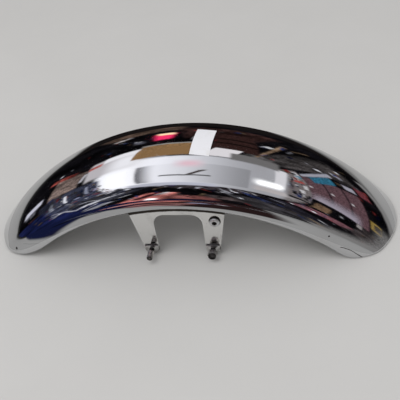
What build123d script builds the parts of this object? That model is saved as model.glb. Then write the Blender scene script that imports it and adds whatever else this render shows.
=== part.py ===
# Motorcycle front mudguard: a chromed channel of pressed steel that arches over the wheel, with a saddle
# bracket under its crown. The feet of the bracket carry collared studs that fit the lugs of the fork legs.
#
# Frame: the two ends stand on z = 0, with the origin midway between them. X runs from the front end to the
# rear end, Y from the left side to the right side, and the wheel axle lies along Y below the origin.
from build123d import *
import os
from math import acos, asin, atan2, degrees, hypot, sqrt

# Driving dimensions in millimetres

# Shell
crown_radius = 355.0  # wheel axle to the outside of the crown
crown_height = 133.5  # surface that the two ends stand on to the outside of the crown
crown_arc_radius = 125.5  # outside of the crown, across the wheel
shoulder_radius = 36.0  # outside bend between crown and flank
half_width = 79.0  # centre plane to the outside of a flank
flank_height = 3.5  # straight part of a flank above the rim
shell_sheet = 1.2  # steel thickness
front_corner_radius = 110.0  # between the rim and the front end, in side view
rear_corner_radius = 34.0  # between the rim and the rear end, in side view
edge_radius = 2.5  # outside bend of the edge that is turned in all round
lip_width = 7.0  # outside of the shell to the free edge of its lip

# Bracket
bracket_sheet = 3.0  # steel thickness
plate_edge_radius = 0.6  # sheared edges, rounded before plating
seat_gap = 0.1  # inside of the crown to the saddle that is welded to it
lip_gap = 0.5  # free edge of the lip to the side plate that passes it
plate_width = 128.0  # side plate along X at the rim
saddle_width = 104.0  # saddle along X at the crown
plate_corner_radius = 20.0  # where the side plate is widest
arch_bridge = 15.0  # side plate's height above the gap between its legs, below the rim
arch_corner_radius = 15.0  # upper corners of the gap between the legs
foot_radius = 9.5  # round end of a leg
foot_clearance = 1.8  # foot above the surface that the ends stand on
stud_spacing = 81.5  # front stud to rear stud

# Studs
thread_radius = 4.0
thread_chamfer = 0.8
neck_radius = 3.2  # core of the thread
neck_length = 5.0  # collar to the start of the thread
front_stud_length = 20.5  # outside of the plate to the end of the thread
rear_stud_length = 15.5
collar_radius = 9.0  # round lower end, on the foot
collar_top = 5.9  # stud's axis to the flat top of the collar
collar_height = 2.0
collar_chamfer = 0.4
spigot_radius = 5.0  # through the plate
spigot_clearance = 0.1
rivet_radius = 6.8  # closed over on the inside of the plate
rivet_height = 1.6
rivet_chamfer = 0.7

# Lock nut left on the left rear stud
lock_nut_size = 11.0  # across flats
lock_nut_height = 8.0
lock_nut_clearance = 0.1
lock_nut_overhang = 1.0  # past the end of the stud
lock_cone_height = 2.5  # pinched end that grips the thread
lock_cone_radius = 4.7  # at the end of the cone

# Hose screw on the left rear leg
screw_drop = 25.5  # below the rim
screw_radius = 4.0
screw_clearance = 0.2
screw_head_radius = 7.0
screw_head_height = 4.4
screw_head_dome = 3.2  # rounding of the head's upper edge
socket_size = 5.0  # across flats
socket_depth = 2.6
nut_size = 13.0  # across flats
nut_height = 6.5
nut_chamfer = 0.8
screw_end = 1.5  # thread showing past the nut

# Paper strip on the crown
strip_length = 54.0  # across the wheel
strip_width = 25.0
strip_thickness = 0.2
strip_gap = 0.05  # glue
strip_setback = 32.8  # middle of the strip, behind the middle of the mudguard
strip_shift = -2.0  # middle of the strip, towards the right side
strip_turn = -3.8  # degrees about Z

hexagon_sides = 6

# Dependent dimensions
axle_drop = crown_radius - crown_height  # wheel axle below the surface that the two ends stand on
axle_point = (0, 0, -axle_drop)
axle = Axis(axle_point, (0, 1, 0))
crown_centre = crown_radius - crown_arc_radius  # wheel axle to the centre of the crown's arc
shoulder_rise = sqrt((crown_arc_radius - shoulder_radius) ** 2 - (half_width - shoulder_radius) ** 2)
rim_radius = crown_centre + shoulder_rise - flank_height
rim_height = rim_radius - axle_drop
core_radius = axle_drop / 2  # wheel axle to the underside of a filled section, below the feet
plate_outside = half_width - lip_width - lip_gap
plate_inside = plate_outside - bracket_sheet
stud_height = foot_clearance + foot_radius
leg_inside = stud_spacing / 2 - foot_radius  # middle of the bracket to the inner edge of a leg
arch_height = rim_height - arch_bridge
screw_height = rim_height - screw_drop
screw_setback = (leg_inside + plate_width / 2) / 2  # midway across the top of the rear leg

# A face looks down, or lies along Y, if its normal's Z or Y is under these
looks_down = -0.1
lies_along = 0.01

# Section plane through the axle, below it: x runs along Y and y away from the axle
section_plane = Plane(origin=axle_point, x_dir=(0, 1, 0), z_dir=(-1, 0, 0))
side_plane = Plane.XZ


def channel_face(inset, half):
    """Section of a channel, inset from the outside of the crown, with a half width, filled to the core."""
    arc = crown_arc_radius - inset
    shoulder = shoulder_radius - inset
    reach = half - shoulder
    bend_height = crown_centre + sqrt((arc - shoulder) ** 2 - reach**2)
    bend = degrees(asin(reach / (arc - shoulder)))
    with BuildSketch(section_plane) as section:
        with BuildLine():
            CenterArc((0, crown_centre), arc, 90 - bend, 2 * bend)
            CenterArc((reach, bend_height), shoulder, 0, 90 - bend)
            CenterArc((-reach, bend_height), shoulder, 90 + bend, 90 - bend)
            Polyline(
                (half, bend_height),
                (half, core_radius),
                (-half, core_radius),
                (-half, bend_height),
            )
        make_face()
    return section.sketch


def shell_view(inset):
    """Side view of the shell's filled form, with its whole lower edge raised by inset."""
    radius = rim_radius + inset
    corner = sqrt(radius**2 - (axle_drop + inset) ** 2)
    with BuildSketch(side_plane) as view:
        with BuildLine():
            ThreePointArc((-corner, inset), (0, radius - axle_drop), (corner, inset))
            Polyline(
                (corner, inset),
                (crown_radius, inset),
                (crown_radius, crown_radius),
                (-crown_radius, crown_radius),
                (-crown_radius, inset),
                (-corner, inset),
            )
        make_face()
        front = view.vertices().sort_by_distance((-corner, inset))[0]
        fillet(front, front_corner_radius - inset)
        rear = view.vertices().sort_by_distance((corner, inset))[0]
        fillet(rear, rear_corner_radius - inset)
    return view.sketch


def shell_body(inset):
    """The shell's filled form, set in by inset all round, with its lower edge rounded."""
    with BuildPart() as body:
        revolve(channel_face(inset, half_width - inset), axis=axle)
        extrude(shell_view(inset), amount=half_width, both=True, mode=Mode.INTERSECT)
        underside = body.faces().filter_by(lambda face: face.normal_at().Z < looks_down)
        outline = underside.edges().filter_by(Axis.Y, reverse=True)
        fillet(outline, edge_radius - inset)
    return body.part


# Shell
outer_body = shell_body(0)
inner_body = shell_body(shell_sheet)

with BuildPart() as mudguard_shell:
    add(outer_body)
    add(inner_body, mode=Mode.SUBTRACT)
    revolve(channel_face(lip_width, half_width - lip_width), axis=axle, mode=Mode.SUBTRACT)

# Bracket
saddle_inset = shell_sheet + seat_gap

leg_run = (plate_width - stud_spacing) / 2
leg_rise = rim_height - stud_height
leg_slope = atan2(leg_rise, leg_run) - acos(foot_radius / hypot(leg_rise, leg_run))
foot_start = degrees(leg_slope)  # where the leg's outer edge runs onto its round foot

with BuildSketch(side_plane) as bracket_view:
    with BuildLine():
        Polyline(
            (0, crown_height),
            (saddle_width / 2, crown_height),
            (plate_width / 2, rim_height),
        )
        foot = CenterArc((stud_spacing / 2, stud_height), foot_radius, foot_start, -180 - foot_start)
        Line((plate_width / 2, rim_height), foot @ 0)
        arch_corner = CenterArc(
            (leg_inside - arch_corner_radius, arch_height - arch_corner_radius),
            arch_corner_radius,
            0,
            90,
        )
        Line(foot @ 1, arch_corner @ 0)
        Line(arch_corner @ 1, (0, arch_height))
        mirror(about=Plane.YZ)
    make_face()
    widest = bracket_view.vertices().filter_by_position(Axis.Y, rim_height, rim_height)
    fillet(widest, plate_corner_radius)

with BuildPart() as fork_bracket:
    revolve(channel_face(saddle_inset, plate_outside), axis=axle)
    revolve(
        channel_face(saddle_inset + bracket_sheet, plate_inside),
        axis=axle,
        mode=Mode.SUBTRACT,
    )
    extrude(bracket_view.sketch, amount=half_width, both=True, mode=Mode.INTERSECT)
    cut_faces = fork_bracket.faces().filter_by(lambda face: abs(face.normal_at().Y) < lies_along)
    sheared = cut_faces.filter_by(GeomType.TORUS, reverse=True)
    fillet(sheared.edges().filter_by(Axis.Y, reverse=True), plate_edge_radius)
    with BuildSketch(side_plane) as stud_holes:
        with Locations((-stud_spacing / 2, stud_height), (stud_spacing / 2, stud_height)):
            Circle(spigot_radius + spigot_clearance)
    extrude(amount=half_width, both=True, mode=Mode.SUBTRACT)
    with BuildSketch(side_plane) as screw_hole:
        with Locations((screw_setback, screw_height)):
            Circle(screw_radius + screw_clearance)
    extrude(amount=half_width, mode=Mode.SUBTRACT)


def stud(x, side, length):
    """Stud with a flat-topped collar at x on one side, -1 left or 1 right, that stands length out of the plate."""
    origin = (x, side * plate_outside, stud_height)
    collar_face = side * (plate_outside + collar_height)
    with BuildPart() as body:
        with BuildSketch(Plane(origin, x_dir=(1, 0, 0), z_dir=(0, 0, side))):
            with BuildLine():
                Polyline(
                    (0, -bracket_sheet - rivet_height),
                    (rivet_radius - rivet_chamfer, -bracket_sheet - rivet_height),
                    (rivet_radius, -bracket_sheet - rivet_height + rivet_chamfer),
                    (rivet_radius, -bracket_sheet),
                    (spigot_radius, -bracket_sheet),
                    (spigot_radius, 0),
                    (neck_radius, 0),
                    (neck_radius, collar_height + neck_length),
                    (thread_radius, collar_height + neck_length),
                    (thread_radius, length - thread_chamfer),
                    (thread_radius - thread_chamfer, length),
                    (0, length),
                    close=True,
                )
            make_face()
        revolve(axis=Axis(origin, (0, side, 0)))
        with BuildSketch(Plane(origin, x_dir=(-side, 0, 0), z_dir=(0, side, 0))):
            with BuildLine():
                round_end = CenterArc((0, 0), collar_radius, 180, 180)
                Polyline(
                    round_end @ 1,
                    (collar_radius, collar_top),
                    (-collar_radius, collar_top),
                    round_end @ 0,
                )
            make_face()
        extrude(amount=collar_height)
        outer_faces = body.faces().filter_by_position(Axis.Y, collar_face, collar_face)
        chamfer(outer_faces[0].outer_wire().edges(), collar_chamfer)
    return body.part


# Studs
studs = {
    "left_front_stud": stud(-stud_spacing / 2, -1, front_stud_length),
    "left_rear_stud": stud(stud_spacing / 2, -1, rear_stud_length),
    "right_front_stud": stud(-stud_spacing / 2, 1, front_stud_length),
    "right_rear_stud": stud(stud_spacing / 2, 1, rear_stud_length),
}

# Lock nut: its axis runs along Y, and its cone is at the outer end
lock_nut_end = Plane(
    (stud_spacing / 2, -plate_outside - rear_stud_length - lock_nut_overhang, stud_height),
    x_dir=(1, 0, 0),
    z_dir=(0, -1, 0),
)

with BuildPart() as left_rear_nut:
    with BuildSketch(lock_nut_end.offset(-lock_cone_height)):
        RegularPolygon(lock_nut_size / 2, hexagon_sides, major_radius=False)
    extrude(amount=lock_cone_height - lock_nut_height)
    with BuildSketch(lock_nut_end.offset(-lock_cone_height)):
        Circle(lock_nut_size / 2)
    with BuildSketch(lock_nut_end):
        Circle(lock_cone_radius)
    loft()
    with BuildSketch(lock_nut_end):
        Circle(thread_radius + lock_nut_clearance)
    extrude(amount=-lock_nut_height, mode=Mode.SUBTRACT)

# Hose screw: its axis runs along Y, and its head is on the outside of the left plate
screw_seat = Plane((screw_setback, -plate_outside, screw_height), x_dir=(1, 0, 0), z_dir=(0, -1, 0))
screw_length = bracket_sheet + nut_height + screw_end

with BuildPart() as hose_screw:
    with BuildSketch(screw_seat):
        Circle(screw_head_radius)
    extrude(amount=screw_head_height)
    fillet(hose_screw.edges().group_by(Axis.Y)[0], screw_head_dome)
    with BuildSketch(screw_seat):
        Circle(screw_radius)
    extrude(amount=-screw_length)
    with BuildSketch(screw_seat.offset(screw_head_height)):
        RegularPolygon(socket_size / 2, hexagon_sides, major_radius=False)
    extrude(amount=-socket_depth, mode=Mode.SUBTRACT)

nut_seat = screw_seat.offset(-bracket_sheet)

with BuildPart() as nut_blank:
    with BuildSketch(nut_seat):
        Circle(nut_size / sqrt(3))
    extrude(amount=-nut_height)
    chamfer(nut_blank.edges().filter_by(GeomType.CIRCLE), nut_chamfer)

with BuildPart() as hose_screw_nut:
    with BuildSketch(nut_seat):
        RegularPolygon(nut_size / 2, hexagon_sides, major_radius=False)
        Circle(screw_radius + screw_clearance, mode=Mode.SUBTRACT)
    extrude(amount=-nut_height)
    add(nut_blank.part, mode=Mode.INTERSECT)

# Paper strip: a patch of the surface just outside the crown
strip_plane = Plane((strip_setback, strip_shift, 0)).rotated((0, 0, strip_turn))
strip_inside = -strip_gap
strip_outside = strip_inside - strip_thickness

with BuildPart() as paper_strip:
    revolve(channel_face(strip_outside, half_width - strip_outside), axis=axle)
    revolve(
        channel_face(strip_inside, half_width - strip_inside),
        axis=axle,
        mode=Mode.SUBTRACT,
    )
    with BuildSketch(strip_plane):
        Rectangle(strip_width, strip_length)
    extrude(amount=crown_radius, mode=Mode.INTERSECT)

pieces = {
    "mudguard_shell": mudguard_shell.part,
    "fork_bracket": fork_bracket.part,
    **studs,
    "left_rear_nut": left_rear_nut.part,
    "hose_screw": hose_screw.part,
    "hose_screw_nut": hose_screw_nut.part,
    "paper_strip": paper_strip.part,
}

os.makedirs("parts", exist_ok=True)
for name, piece in pieces.items():
    piece.label = name
    export_step(piece, f"parts/{name}.step")
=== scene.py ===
# %% [markdown]
# # A chromed front mudguard
# The part is a steel channel that arches over a motorcycle's front wheel, with a saddle bracket under its
# crown and four studs that fit the fork. The CAD model already has every size, so this script only
# dresses it: it keeps the solids whose shape is right, replaces the ones that need a finer mesh, and
# gives each a finish.

# %% Load the solids
from math import asin, atan2, cos, degrees, hypot, pi, radians, sin, sqrt

import bmesh
import bpy
import numpy as np
from mathutils import Matrix, Vector


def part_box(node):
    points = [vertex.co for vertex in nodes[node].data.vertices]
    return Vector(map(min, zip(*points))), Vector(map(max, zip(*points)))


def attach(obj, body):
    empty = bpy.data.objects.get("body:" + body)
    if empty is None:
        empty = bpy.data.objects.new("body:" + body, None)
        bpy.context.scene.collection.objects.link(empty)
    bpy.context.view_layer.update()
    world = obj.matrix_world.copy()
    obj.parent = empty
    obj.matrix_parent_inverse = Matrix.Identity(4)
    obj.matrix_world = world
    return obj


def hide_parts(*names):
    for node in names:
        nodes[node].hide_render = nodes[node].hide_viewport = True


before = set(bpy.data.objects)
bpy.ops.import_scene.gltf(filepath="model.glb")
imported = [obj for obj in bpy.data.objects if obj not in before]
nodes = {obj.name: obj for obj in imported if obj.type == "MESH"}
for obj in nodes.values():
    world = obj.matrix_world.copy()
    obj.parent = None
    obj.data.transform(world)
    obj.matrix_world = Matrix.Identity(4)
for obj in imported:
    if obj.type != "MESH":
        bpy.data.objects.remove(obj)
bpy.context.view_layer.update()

MM = 0.001
print("solids:", ", ".join(sorted(nodes)))

# %% [markdown]
# ## Camera
# The photograph looks down on the left side, from a little towards the rear end, with the picture turned
# a bit. The camera's angles, in radians, were found by fitting the outline of the solids to the
# photograph. Blender could aim a camera with a Track To constraint, but a matrix of three directions also
# holds the picture's turn.

# %% Place the camera
frame_pixels = 400
focal_pixels = 651.61
camera_target = Vector((0.0159, 0.0, 0.03238))
camera_distance = 0.8872
camera_azimuth = 0.24251
camera_elevation = 0.68362
camera_roll = 0.1659

backward = Vector(
    (
        sin(camera_azimuth) * cos(camera_elevation),
        -cos(camera_azimuth) * cos(camera_elevation),
        sin(camera_elevation),
    )
)
rightward = (-backward).cross(Vector((0, 0, 1))).normalized()
downward = (-backward).cross(rightward)
across = cos(camera_roll) * rightward + sin(camera_roll) * downward
upward = sin(camera_roll) * rightward - cos(camera_roll) * downward

camera_data = bpy.data.cameras.new("photo_camera")
camera_data.lens = focal_pixels / frame_pixels * camera_data.sensor_width
camera = bpy.data.objects.new("photo_camera", camera_data)
bpy.context.scene.collection.objects.link(camera)
turn = Matrix((across, upward, backward)).transposed().to_4x4()
camera.matrix_world = Matrix.Translation(camera_target + backward * camera_distance) @ turn
bpy.context.scene.camera = camera
bpy.context.scene.view_settings.view_transform = "Standard"
print("camera lens %.1f mm at" % camera_data.lens, [round(c, 3) for c in camera.matrix_world.translation])

# %% [markdown]
# ## Shell
# The mudguard itself is one pressed sheet, 1.2 mm thick, with its edge turned in all round. Chrome is a
# mirror, and a mirror shows every facet of a coarse mesh. A subdivision surface would smooth the facets
# but move the surface, so the mesh is worked out from the sheet's own section instead, with the exact
# normal at each point. Sizes are in millimetres until a mesh is made.

# %% Section of the sheet
crown_radius = 355.0
crown_height = 133.5
crown_arc = 125.5
shoulder_arc = 36.0
half_width = 79.0
flank_height = 3.5
sheet = 1.2
edge_radius = 2.5
lip_width = 7.0
front_corner = 110.0
rear_corner = 34.0

axle_drop = crown_radius - crown_height
crown_centre = crown_radius - crown_arc
shoulder_reach = half_width - shoulder_arc
bend = asin(shoulder_reach / (crown_arc - shoulder_arc))
shoulder_height = crown_centre + (crown_arc - shoulder_arc) * cos(bend)
rim_radius = shoulder_height - flank_height


def sheet_section(shoulder_points, crown_points):
    """Rows of y, radius from the axle and the normal's two parts, from the left rim to the right one."""
    rise = np.linspace(0, pi / 2 - bend, shoulder_points)
    left = np.stack(
        [
            -shoulder_reach - shoulder_arc * np.cos(rise),
            shoulder_height + shoulder_arc * np.sin(rise),
            -np.cos(rise),
            np.sin(rise),
        ],
        axis=1,
    )
    tilt = np.linspace(-bend, bend, crown_points)[1:-1]
    crown = np.stack(
        [crown_arc * np.sin(tilt), crown_centre + crown_arc * np.cos(tilt), np.sin(tilt), np.cos(tilt)],
        axis=1,
    )
    foot = np.array([[-half_width, rim_radius + edge_radius, -1.0, 0.0]])
    left = np.concatenate([foot, left])
    right = left[::-1] * np.array([-1, 1, -1, 1])
    return np.concatenate([left, crown, right])


section = sheet_section(shoulder_points=26, crown_points=52)
section_y, section_radius, normal_y, normal_radius = section.T
print("rim radius %.2f mm, %d points across the sheet" % (rim_radius, len(section)))

# %% [markdown]
# Seen from the side, the lower edge of the sheet has three parts: the rim, which is a circle about the
# axle, the flat line that each end stands on, and a rounded corner between them. The next cell finds
# where a circle about the axle meets that edge, and which way the edge faces.

# %% Lower edge in side view
def corner_centre(corner):
    """Distance of a rounded corner's centre from the middle, and its angle from the top."""
    out = sqrt((rim_radius + corner) ** 2 - (axle_drop + corner) ** 2)
    return out, atan2(out, axle_drop + corner)


def end_angle(radius, corner, raised):
    """Angle from the top at which a circle meets the lower edge, raised by some millimetres."""
    out, angle = corner_centre(corner)
    reach = rim_radius + corner
    on_floor = np.arccos(np.clip((axle_drop + raised) / radius, -1, 1))
    spread = (radius**2 + reach**2 - (corner - raised) ** 2) / (2 * radius * reach)
    on_corner = angle + np.arccos(np.clip(spread, -1, 1))
    return np.where(radius > hypot(out, axle_drop + raised), on_floor, on_corner)


def edge_facing(points):
    """Direction that the lower edge faces at each point."""
    x, z = points[:, 0], points[:, 2]
    facing = np.zeros_like(points)
    for corner, side in ((front_corner, x < 0), (rear_corner, x >= 0)):
        out, angle = corner_centre(corner)
        height = z + axle_drop
        from_top = np.arctan2(np.abs(x), height)
        on_rim = side & (from_top <= angle)
        on_floor = side & (np.abs(x) >= out)
        on_corner = side & ~on_rim & ~on_floor
        facing[on_rim] = np.stack([-x, 0 * x, -height], axis=1)[on_rim]
        facing[on_floor] = (0, 0, -1)
        facing[on_corner] = np.stack([x - np.sign(x) * out, 0 * x, z - corner], axis=1)[on_corner]
    return facing / np.linalg.norm(facing, axis=1, keepdims=True)


print("front end at %.1f degrees" % degrees(end_angle(np.array([crown_radius]), front_corner, 0)[0]))

# %% [markdown]
# A turned edge is rounded as if a ball had rolled along inside it. The ball touches the outside of the
# sheet and the lower edge at once, so its centre is one ball radius in from both. The outer surface stops
# where the ball touches it, and the rings of the rounded edge run on from there.

# %% Outer surface
def on_wheel(angle, y, radius):
    """Points at an angle from the top, a distance across and a radius from the axle."""
    return np.stack([radius * np.sin(angle), y + 0 * angle, radius * np.cos(angle) - axle_drop], axis=-1)


lengthwise_points = 281
ball_radius = section_radius - edge_radius * normal_radius
front_angle = end_angle(ball_radius, front_corner, edge_radius)
rear_angle = end_angle(ball_radius, rear_corner, edge_radius)
lengthwise = np.linspace(0, 1, lengthwise_points)
angles = -front_angle[:, None] + lengthwise[None, :] * (front_angle + rear_angle)[:, None]
outside = on_wheel(angles, section_y[:, None], section_radius[:, None])
outside_normal = np.stack(
    [
        normal_radius[:, None] * np.sin(angles),
        normal_y[:, None] + 0 * angles,
        normal_radius[:, None] * np.cos(angles),
    ],
    axis=-1,
)
rows, columns = angles.shape
print("outer surface of %d by %d points" % (rows, columns))

# %% Its boundary, once round
row_ids, column_ids = np.arange(rows), np.arange(columns)
rim_zeros, end_zeros = 0 * column_ids[:-1], 0 * row_ids[:-1]
loop_row = np.concatenate([rim_zeros, row_ids[:-1], rim_zeros + rows - 1, row_ids[:0:-1]])
loop_column = np.concatenate([column_ids[:-1], end_zeros + columns - 1, column_ids[:0:-1], end_zeros])
on_end = np.concatenate([rim_zeros, end_zeros + 1, rim_zeros, end_zeros + 1]) > 0
print("boundary of %d points" % len(loop_row))

# %% [markdown]
# The rings of the edge are: the round, the underside of the lip, the lip's cut edge, the upper side of
# the lip, and the round inside. A hard corner, such as the lip's cut edge, needs two rings in one place,
# each with its own normal.

# %% Rings of the turned edge
def inset_y(radius, inset):
    """Distance of the section, set in by some millimetres, from the middle plane at a radius."""
    arc, turn_arc = crown_arc - inset, shoulder_arc - inset
    on_crown = np.sqrt(np.maximum(arc**2 - (radius - crown_centre) ** 2, 0))
    above = np.maximum(radius - shoulder_height, 0)
    on_shoulder = shoulder_reach + np.sqrt(np.maximum(turn_arc**2 - above**2, 0))
    return np.where(radius > crown_centre + arc * cos(bend), on_crown, on_shoulder)


loop_angle = angles[loop_row, loop_column]
loop_out = outside_normal[loop_row, loop_column]
ball = outside[loop_row, loop_column] - edge_radius * loop_out
loop_down = edge_facing(ball)
loop_normal_radius = normal_radius[loop_row]
loop_side = np.sign(section_y[loop_row])


def free_edge(raised):
    """Free edge of the lip, on the lower edge raised by some millimetres."""
    radius = section_radius[loop_row] - lip_width * loop_normal_radius
    radius = radius - (edge_radius - raised) * (1 - loop_normal_radius)
    at_front = -end_angle(radius, front_corner, raised)
    at_rear = end_angle(radius, rear_corner, raised)
    angle = np.where(on_end, np.where(loop_column == 0, at_front, at_rear), loop_angle)
    return on_wheel(angle, loop_side * inset_y(radius, lip_width), radius)


def between(share):
    """Unit direction part of the way from the sheet's normal to the edge's facing, along the arc."""
    whole = np.arccos(np.clip((loop_out * loop_down).sum(axis=1), -1, 1))[:, None]
    return (np.sin((1 - share) * whole) * loop_out + np.sin(share * whole) * loop_down) / np.sin(whole)


round_parts = 7
round_steps = np.linspace(0, 1, round_parts + 1)[1:]
inner_radius = edge_radius - sheet
lip_low, lip_high = free_edge(0), free_edge(sheet)
cut_facing = -loop_out
rings = [(ball + edge_radius * between(step), between(step)) for step in round_steps]
rings += [(lip_low, edge_facing(lip_low)), (lip_low, cut_facing), (lip_high, cut_facing)]
rings += [(lip_high, -edge_facing(lip_high)), (ball + inner_radius * loop_down, -loop_down)]
rings += [(ball + inner_radius * between(step), -between(step)) for step in round_steps[-2::-1]]
print("%d rings round the edge" % len(rings))

# %% [markdown]
# The outer surface, the rings and the inner surface make one closed sheet. Blender's Bridge Edge Loops
# could join them, but the point numbers are known, so the quads are listed directly. Faces up to the
# lip's cut edge get chrome, and the rest a duller plating.

# %% Mesh helpers
def new_piece(name, points, faces):
    """Object with a mesh of points in millimetres and faces, smooth, and riding on the part."""
    mesh = bpy.data.meshes.new(name)
    mesh.from_pydata((np.asarray(points) * MM).tolist(), [], [list(map(int, face)) for face in faces])
    mesh.shade_smooth()
    piece = bpy.data.objects.new(name, mesh)
    bpy.context.scene.collection.objects.link(piece)
    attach(piece, "root")
    return piece


def grid_faces(ids):
    """Quads of a grid of point numbers."""
    return np.stack([ids[:-1, :-1], ids[:-1, 1:], ids[1:, 1:], ids[1:, :-1]], axis=-1).reshape(-1, 4)


def closed_faces(ids):
    """Quads of a grid of point numbers whose rows close into rings."""
    return grid_faces(np.concatenate([ids, ids[:, :1]], axis=1))


print("mesh helpers ready")

# %% Join the surfaces into one mesh
outside_ids = np.arange(rows * columns).reshape(rows, columns)
inside_ids = outside_ids + rows * columns
ring_ids = 2 * rows * columns + np.arange(len(rings) * len(loop_row)).reshape(len(rings), -1)
chain = [outside_ids[loop_row, loop_column], *ring_ids, inside_ids[loop_row, loop_column]]
cut_step = round_parts + 1

# Two steps of the chain only repeat a ring in its place, so they get no faces.
chrome_faces = [grid_faces(outside_ids)]
dull_faces = [grid_faces(inside_ids)[:, ::-1]]
for step, (upper, lower) in enumerate(zip(chain[:-1], chain[1:])):
    if step not in (cut_step, cut_step + 2):
        strip = np.stack([np.roll(upper, -1), upper, lower, np.roll(lower, -1)], axis=1)
        (chrome_faces if step <= cut_step + 1 else dull_faces).append(strip)

inside = outside - sheet * outside_normal
shell_points = np.concatenate([outside.reshape(-1, 3), inside.reshape(-1, 3), *[ring[0] for ring in rings]])
flat_normals = outside_normal.reshape(-1, 3)
shell_normals = np.concatenate([flat_normals, -flat_normals, *[ring[1] for ring in rings]])
chrome_faces, dull_faces = np.concatenate(chrome_faces), np.concatenate(dull_faces)
shell = new_piece("chromed_shell", shell_points, np.concatenate([chrome_faces, dull_faces]))
shell.data.normals_split_custom_set_from_vertices(shell_normals.tolist())
inside_mark = np.repeat([0, 1], [len(chrome_faces), len(dull_faces)])
shell.data.polygons.foreach_set("material_index", inside_mark.astype(np.int32))
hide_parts("mudguard_shell")
print("shell of %d faces" % len(shell.data.polygons))

# %% [markdown]
# ## Studs
# The four studs are turned steel with a rolled M8 thread, and each has a collar that is round below and
# flat on top. A thread could be a Screw modifier on a zigzag, but its ends would need cutting. Here the
# stud is one lathe grid whose radius may follow the angle as well as the length: the groove winds up by
# one pitch in each turn and runs out at both ends, and the collar gets its flat top the same way.

# %% Sizes of a stud
plate_outside = 71.5
plate_sheet = 3.0
stud_height = 11.3
stud_offset = 81.5 / 2
rivet_radius, rivet_height, rivet_chamfer = 6.8, 1.6, 0.7
shank_radius = 5.0
collar_radius, collar_top, collar_height, collar_chamfer = 9.0, 5.9, 2.0, 0.4
neck_radius, neck_fillet, fillet_step = 3.2, 0.6, 0.2
thread_radius, thread_core, thread_pitch = 4.0, 3.25, 1.25
thread_start, thread_chamfer = 7.0, 0.8
end_radius, centre_hole_radius, centre_hole_depth = 3.1, 1.3, 0.9

turn_steps = 56
collar_corner = atan2(collar_top, collar_radius)
even_turn = np.linspace(0, 2 * pi, turn_steps, endpoint=False)
turn_angles = np.sort(np.concatenate([even_turn, [collar_corner, pi - collar_corner]]))
turn_points = len(turn_angles)
print("%d points round a stud" % turn_points)

# %% Outline of the collar and groove of the thread
def collar_outline(inset):
    """Radius of the collar at each angle, set in by some millimetres."""
    side, top = collar_radius - inset, collar_top - inset
    rise, run = np.sin(turn_angles), np.abs(np.cos(turn_angles))
    nearly_zero = 1e-6
    square = np.minimum(side / np.maximum(run, nearly_zero), top / np.maximum(rise, nearly_zero))
    return np.where(rise > 0, square, side)


rows_per_pitch = 10
groove_slope, groove_floor = 1.35, 0.2


def thread_rows(length):
    """Rows of the threaded part: distance along the stud, and the radius at each angle."""
    along = np.arange(thread_start, length, thread_pitch / rows_per_pitch)
    phase = (along[:, None] / thread_pitch - turn_angles[None, :] / (2 * pi)) % 1
    ridge = np.clip((1 - 2 * np.abs(phase - 0.5)) * groove_slope - groove_floor, 0, 1)
    thread = thread_core + (thread_radius - thread_core) * ridge
    run_in = thread_core + (along - thread_start)[:, None]
    run_out = thread_radius - np.maximum(along - (length - thread_chamfer), 0)[:, None]
    return along, np.minimum(np.minimum(thread, run_in), run_out)


print("collar from %.1f to %.1f mm" % (collar_outline(0).min(), collar_outline(0).max()))

# %% Welding and hard edges
weld_gap = 1e-6
hard_edge = 40


def soften(piece):
    """Weld doubled points, and mark the edges that turn too far to look smooth as hard."""
    shape = bmesh.new()
    shape.from_mesh(piece.data)
    bmesh.ops.remove_doubles(shape, verts=shape.verts, dist=weld_gap)
    bmesh.ops.recalc_face_normals(shape, faces=shape.faces)
    for edge in shape.edges:
        edge.smooth = edge.calc_face_angle(0) < radians(hard_edge)
    shape.to_mesh(piece.data)
    shape.free()


print("edges over %d degrees stay hard" % hard_edge)

# %% Lathe grid of a stud
def stud_piece(node, x, side, length):
    """Threaded stud that stands in for one stud of the CAD model."""
    rivet_end = -plate_sheet - rivet_height
    lathe = [
        (rivet_end, 0),
        (rivet_end, rivet_radius - rivet_chamfer),
        (rivet_end + rivet_chamfer, rivet_radius),
        (-plate_sheet, rivet_radius),
        (-plate_sheet, shank_radius),
        (0, shank_radius),
        (0, collar_outline(0)),
        (collar_height - collar_chamfer, collar_outline(0)),
        (collar_height, collar_outline(collar_chamfer)),
        (collar_height, neck_radius + neck_fillet),
        (collar_height + fillet_step, neck_radius + fillet_step),
        (collar_height + neck_fillet, neck_radius),
        (thread_start, neck_radius),
        *zip(*thread_rows(length)),
        (length, end_radius),
        (length, centre_hole_radius),
        (length - centre_hole_depth, 0),
    ]
    points = [
        np.stack(
            [
                x + radius * np.cos(turn_angles),
                np.full(turn_points, side * (plate_outside + out)),
                stud_height + radius * np.sin(turn_angles),
            ],
            axis=1,
        )
        for out, radius in lathe
    ]
    faces = closed_faces(np.arange(len(lathe) * turn_points).reshape(len(lathe), turn_points))
    piece = new_piece(node + "_turned", np.concatenate(points), faces if side < 0 else faces[:, ::-1])
    soften(piece)
    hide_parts(node)
    return piece


front_length, rear_length = 20.5, 15.5
stud_ends = [("front", -stud_offset, front_length), ("rear", stud_offset, rear_length)]
studs = [
    stud_piece(side_name + "_" + end_name + "_stud", x, side, length)
    for side_name, side in (("left", -1), ("right", 1))
    for end_name, x, length in stud_ends
]
print("studs:", {stud.name: len(stud.data.polygons) for stud in studs})

# %% [markdown]
# ## Shader maths
# Every finish below is a small network of nodes. Linking them by hand takes many lines, so one class
# wraps an output socket: arithmetic on it adds Math nodes, and its node method adds any other node.

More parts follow.
